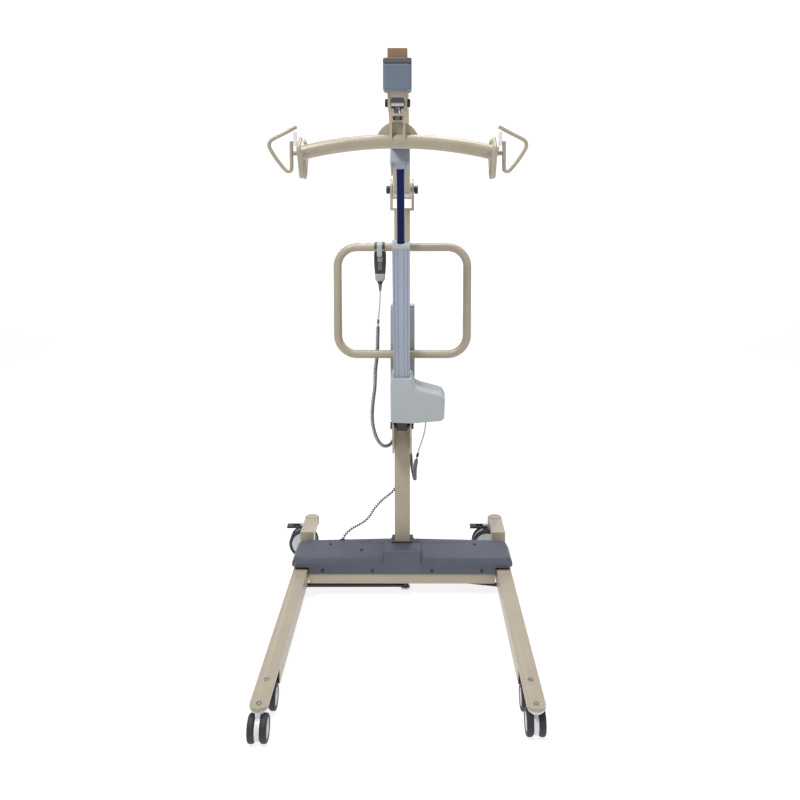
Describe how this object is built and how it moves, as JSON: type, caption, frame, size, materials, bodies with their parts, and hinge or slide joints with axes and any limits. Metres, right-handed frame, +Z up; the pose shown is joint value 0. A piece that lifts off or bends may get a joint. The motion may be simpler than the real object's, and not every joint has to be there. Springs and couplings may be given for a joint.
{
  "type": "patient lift hoist",
  "caption": "Wheeled patient lift: mast on a base with spreading legs and casters, actuator-raised boom, swivelling hanger bar with sling hooks, push handle and wired handset.",
  "frame": {"origin": "on the floor below the axis of the mast", "axes": "+Z up along the mast, -Y towards the patient and the boom's free end, +X to the right seen from the front"},
  "size_m": [0.769, 1.122, 1.613],
  "materials": {
    "tan_paint": "satin powder coat",
    "blue_grey_plastic": "fine texture",
    "light_grey_plastic": "fine texture",
    "black_plastic": "fine texture",
    "zinc_steel": "zinc plated",
    "chrome": "polished",
    "aluminium": "anodised",
    "red_plastic": "gloss",
    "white_nylon": "satin",
    "tyre": "matte",
    "pad_foam": "soft skin",
    "brown_plastic": "satin",
    "cord_grey": "satin"
  },
  "bodies": {
    "base": {"base_frame": "tan_paint", "mast": "tan_paint", "mast_collar": "black_plastic", "base_cover": "blue_grey_plastic", "cover_screws": "black_plastic", "frame_bolts": "zinc_steel", "push_handle": "tan_paint", "control_box": "light_grey_plastic", "handset_core": "light_grey_plastic", "handset_shell": "black_plastic", "handset_strain_relief": "black_plastic", "handset_cord_tail": "cord_grey", "handset_cord_curl": "cord_grey", "motor_lead_tail": "cord_grey", "motor_lead_curl": "cord_grey", "leg_lead": "cord_grey"},
    "battery": {"battery_pack": "light_grey_plastic"},
    "stop_button": {"emergency_stop": "red_plastic"},
    "lift_key": {"lift_rocker": "light_grey_plastic"},
    "legs_key": {"legs_rocker": "light_grey_plastic"},
    "actuator": {"actuator_housing": "light_grey_plastic", "actuator_tube": "aluminium", "tube_end_cap": "light_grey_plastic"},
    "piston": {"actuator_rod": "chrome", "rod_end": "aluminium"},
    "boom": {"boom_tube": "tan_paint", "boom_channel": "aluminium", "boom_pad": "pad_foam", "boom_end_cap": "brown_plastic", "pivot_hub": "white_nylon", "boom_bolts": "black_plastic"},
    "swivel": {"swivel_eye": "chrome"},
    "hanger": {"hanger_yoke": "tan_paint", "hanger_bar": "tan_paint", "sling_hooks": "tan_paint"},
    "clip_left": {"left_clip": "white_nylon"},
    "clip_right": {"right_clip": "white_nylon"},
    "leg_left": {"left_leg": "tan_paint", "left_caster_bolts": "zinc_steel"},
    "leg_right": {"right_leg": "tan_paint", "right_caster_bolts": "zinc_steel"},
    "crank_plate": {"crank": "zinc_steel"},
    "tie_left": {"left_tie": "zinc_steel"},
    "tie_right": {"right_tie": "zinc_steel"},
    "leg_actuator": {"spread_actuator": "black_plastic"},
    "leg_piston": {"spread_rod": "zinc_steel"},
    "left_lead_caster": {"left_lead_fork": "light_grey_plastic"},
    "left_lead_wheel": {"left_lead_wheels": "tyre"},
    "left_second_caster": {"left_second_fork": "light_grey_plastic"},
    "left_second_wheel": {"left_second_wheels": "tyre"},
    "right_lead_caster": {"right_lead_fork": "light_grey_plastic"},
    "right_lead_wheel": {"right_lead_wheels": "tyre"},
    "right_second_caster": {"right_second_fork": "light_grey_plastic"},
    "right_second_wheel": {"right_second_wheels": "tyre"},
    "left_rear_caster": {"left_rear_fork": "light_grey_plastic"},
    "left_rear_wheel": {"left_rear_wheels": "tyre"},
    "right_rear_caster": {"right_rear_fork": "light_grey_plastic"},
    "right_rear_wheel": {"right_rear_wheels": "tyre"},
    "left_pedal": {"left_brake_pedal": "black_plastic"},
    "right_pedal": {"right_brake_pedal": "black_plastic"}
  },
  "joints": [
    {"name": "boom_lift", "type": "hinge", "parent": "base", "child": "boom", "pos_m": [0, 0, 1.3], "axis": [-1, 0, 0], "range_deg": [-35, 20]},
    {"name": "lift_actuator_tilt", "type": "hinge", "parent": "base", "child": "actuator", "pos_m": [0, -0.075, 0.552], "axis": [1, 0, 0], "range_deg": [-3.2, 5.5]},
    {"name": "piston_slide", "type": "slide", "parent": "actuator", "child": "piston", "axis": [0, -0.3123, 0.95], "range_m": [-0.1925, 0.11]},
    {"name": "hanger_swing", "type": "hinge", "parent": "boom", "child": "swivel", "pos_m": [0, -0.725, 1.49], "axis": [-1, 0, 0], "range_deg": [-30, 45]},
    {"name": "hanger_swivel", "type": "hinge", "parent": "swivel", "child": "hanger", "pos_m": [0, -0.725, 1.46], "axis": [0, 0, 1], "range_deg": [-180, 180]},
    {"name": "left_clip_hinge", "type": "hinge", "parent": "hanger", "child": "clip_left", "pos_m": [-0.24, -0.725, 1.396], "axis": [0, 1, 0], "range_deg": [0, 35], "stiffness_Nm_per_rad": 0.05},
    {"name": "right_clip_hinge", "type": "hinge", "parent": "hanger", "child": "clip_right", "pos_m": [0.24, -0.725, 1.396], "axis": [0, -1, 0], "range_deg": [0, 35], "stiffness_Nm_per_rad": 0.05},
    {"name": "left_leg_spread", "type": "hinge", "parent": "base", "child": "leg_left", "pos_m": [-0.326, 0, 0.062], "axis": [0, 0, -1], "range_deg": [0, 13.6]},
    {"name": "right_leg_spread", "type": "hinge", "parent": "base", "child": "leg_right", "pos_m": [0.326, 0, 0.062], "axis": [0, 0, 1], "range_deg": [0, 13.7]},
    {"name": "crank_turn", "type": "hinge", "parent": "base", "child": "crank_plate", "pos_m": [0, -0.05, 0.025], "axis": [0, 0, -1], "range_deg": [0, 30.6]},
    {"name": "left_tie_turn", "type": "hinge", "parent": "leg_left", "child": "tie_left", "pos_m": [-0.326, -0.091, 0.032], "axis": [0, 0, 1], "range_deg": [0, 13.3]},
    {"name": "right_tie_turn", "type": "hinge", "parent": "leg_right", "child": "tie_right", "pos_m": [0.326, -0.091, 0.032], "axis": [0, 0, -1], "range_deg": [0, 13.5]},
    {"name": "leg_actuator_turn", "type": "hinge", "parent": "base", "child": "leg_actuator", "pos_m": [-0.095, 0.04, 0.063], "axis": [0, 0, 1], "range_deg": [0, 3.2]},
    {"name": "leg_piston_slide", "type": "slide", "parent": "leg_actuator", "child": "leg_piston", "axis": [-0.9991, 0.0414, 0], "range_m": [-0.0105, 0]},
    {"name": "battery_lift_off", "type": "slide", "parent": "base", "child": "battery", "axis": [0, 0, 1], "range_m": [0, 0.12]},
    {"name": "emergency_stop_press", "type": "slide", "parent": "base", "child": "stop_button", "axis": [0, -1, 0], "range_m": [0, 0.004], "stiffness_N_per_m": 600},
    {"name": "lift_key_rock", "type": "hinge", "parent": "base", "child": "lift_key", "pos_m": [-0.074, 0.082, 1.076], "axis": [1, 0, 0], "range_deg": [-4, 4], "stiffness_Nm_per_rad": 0.05},
    {"name": "legs_key_rock", "type": "hinge", "parent": "base", "child": "legs_key", "pos_m": [-0.074, 0.082, 1.046], "axis": [1, 0, 0], "range_deg": [-4, 4], "stiffness_Nm_per_rad": 0.05},
    {"name": "left_lead_swivel", "type": "hinge", "parent": "leg_left", "child": "left_lead_caster", "pos_m": [-0.326, -0.829, 0.07], "axis": [0, 0, 1], "continuous": true},
    {"name": "left_lead_spin", "type": "hinge", "parent": "left_lead_caster", "child": "left_lead_wheel", "pos_m": [-0.326, -0.843, 0.033], "axis": [1, 0, 0], "continuous": true},
    {"name": "left_second_swivel", "type": "hinge", "parent": "leg_left", "child": "left_second_caster", "pos_m": [-0.326, -0.728, 0.07], "axis": [0, 0, 1], "continuous": true},
    {"name": "left_second_spin", "type": "hinge", "parent": "left_second_caster", "child": "left_second_wheel", "pos_m": [-0.326, -0.714, 0.033], "axis": [1, 0, 0], "continuous": true},
    {"name": "right_lead_swivel", "type": "hinge", "parent": "leg_right", "child": "right_lead_caster", "pos_m": [0.326, -0.829, 0.07], "axis": [0, 0, 1], "continuous": true},
    {"name": "right_lead_spin", "type": "hinge", "parent": "right_lead_caster", "child": "right_lead_wheel", "pos_m": [0.326, -0.815, 0.033], "axis": [1, 0, 0], "continuous": true},
    {"name": "right_second_swivel", "type": "hinge", "parent": "leg_right", "child": "right_second_caster", "pos_m": [0.326, -0.728, 0.07], "axis": [0, 0, 1], "continuous": true},
    {"name": "right_second_spin", "type": "hinge", "parent": "right_second_caster", "child": "right_second_wheel", "pos_m": [0.326, -0.714, 0.033], "axis": [1, 0, 0], "continuous": true},
    {"name": "left_rear_swivel", "type": "hinge", "parent": "leg_left", "child": "left_rear_caster", "pos_m": [-0.326, 0.22, 0.11], "axis": [0, 0, 1], "continuous": true},
    {"name": "left_rear_spin", "type": "hinge", "parent": "left_rear_caster", "child": "left_rear_wheel", "pos_m": [-0.356, 0.22, 0.05], "axis": [0, 1, 0], "continuous": true},
    {"name": "left_brake_press", "type": "hinge", "parent": "left_rear_caster", "child": "left_pedal", "pos_m": [-0.359, 0.22, 0.107], "axis": [0, -1, 0], "range_deg": [0, 12]},
    {"name": "right_rear_swivel", "type": "hinge", "parent": "leg_right", "child": "right_rear_caster", "pos_m": [0.326, 0.22, 0.11], "axis": [0, 0, 1], "continuous": true},
    {"name": "right_rear_spin", "type": "hinge", "parent": "right_rear_caster", "child": "right_rear_wheel", "pos_m": [0.296, 0.22, 0.05], "axis": [0, 1, 0], "continuous": true},
    {"name": "right_brake_press", "type": "hinge", "parent": "right_rear_caster", "child": "right_pedal", "pos_m": [0.293, 0.22, 0.107], "axis": [0, -1, 0], "range_deg": [0, 12]}
  ],
  "couplings": [
    {"joint": "lift_actuator_tilt", "follows": "boom_lift", "ratio": -0.155},
    {"joint": "piston_slide", "follows": "boom_lift", "m_per_rad": 0.3137},
    {"joint": "right_leg_spread", "follows": "left_leg_spread", "ratio": 1},
    {"joint": "crank_turn", "follows": "left_leg_spread", "ratio": 2.23},
    {"joint": "left_tie_turn", "follows": "left_leg_spread", "ratio": 0.9592},
    {"joint": "right_tie_turn", "follows": "left_leg_spread", "ratio": 0.987},
    {"joint": "leg_actuator_turn", "follows": "left_leg_spread", "ratio": 0.2271},
    {"joint": "leg_piston_slide", "follows": "left_leg_spread", "m_per_rad": -0.0437}
  ]
}
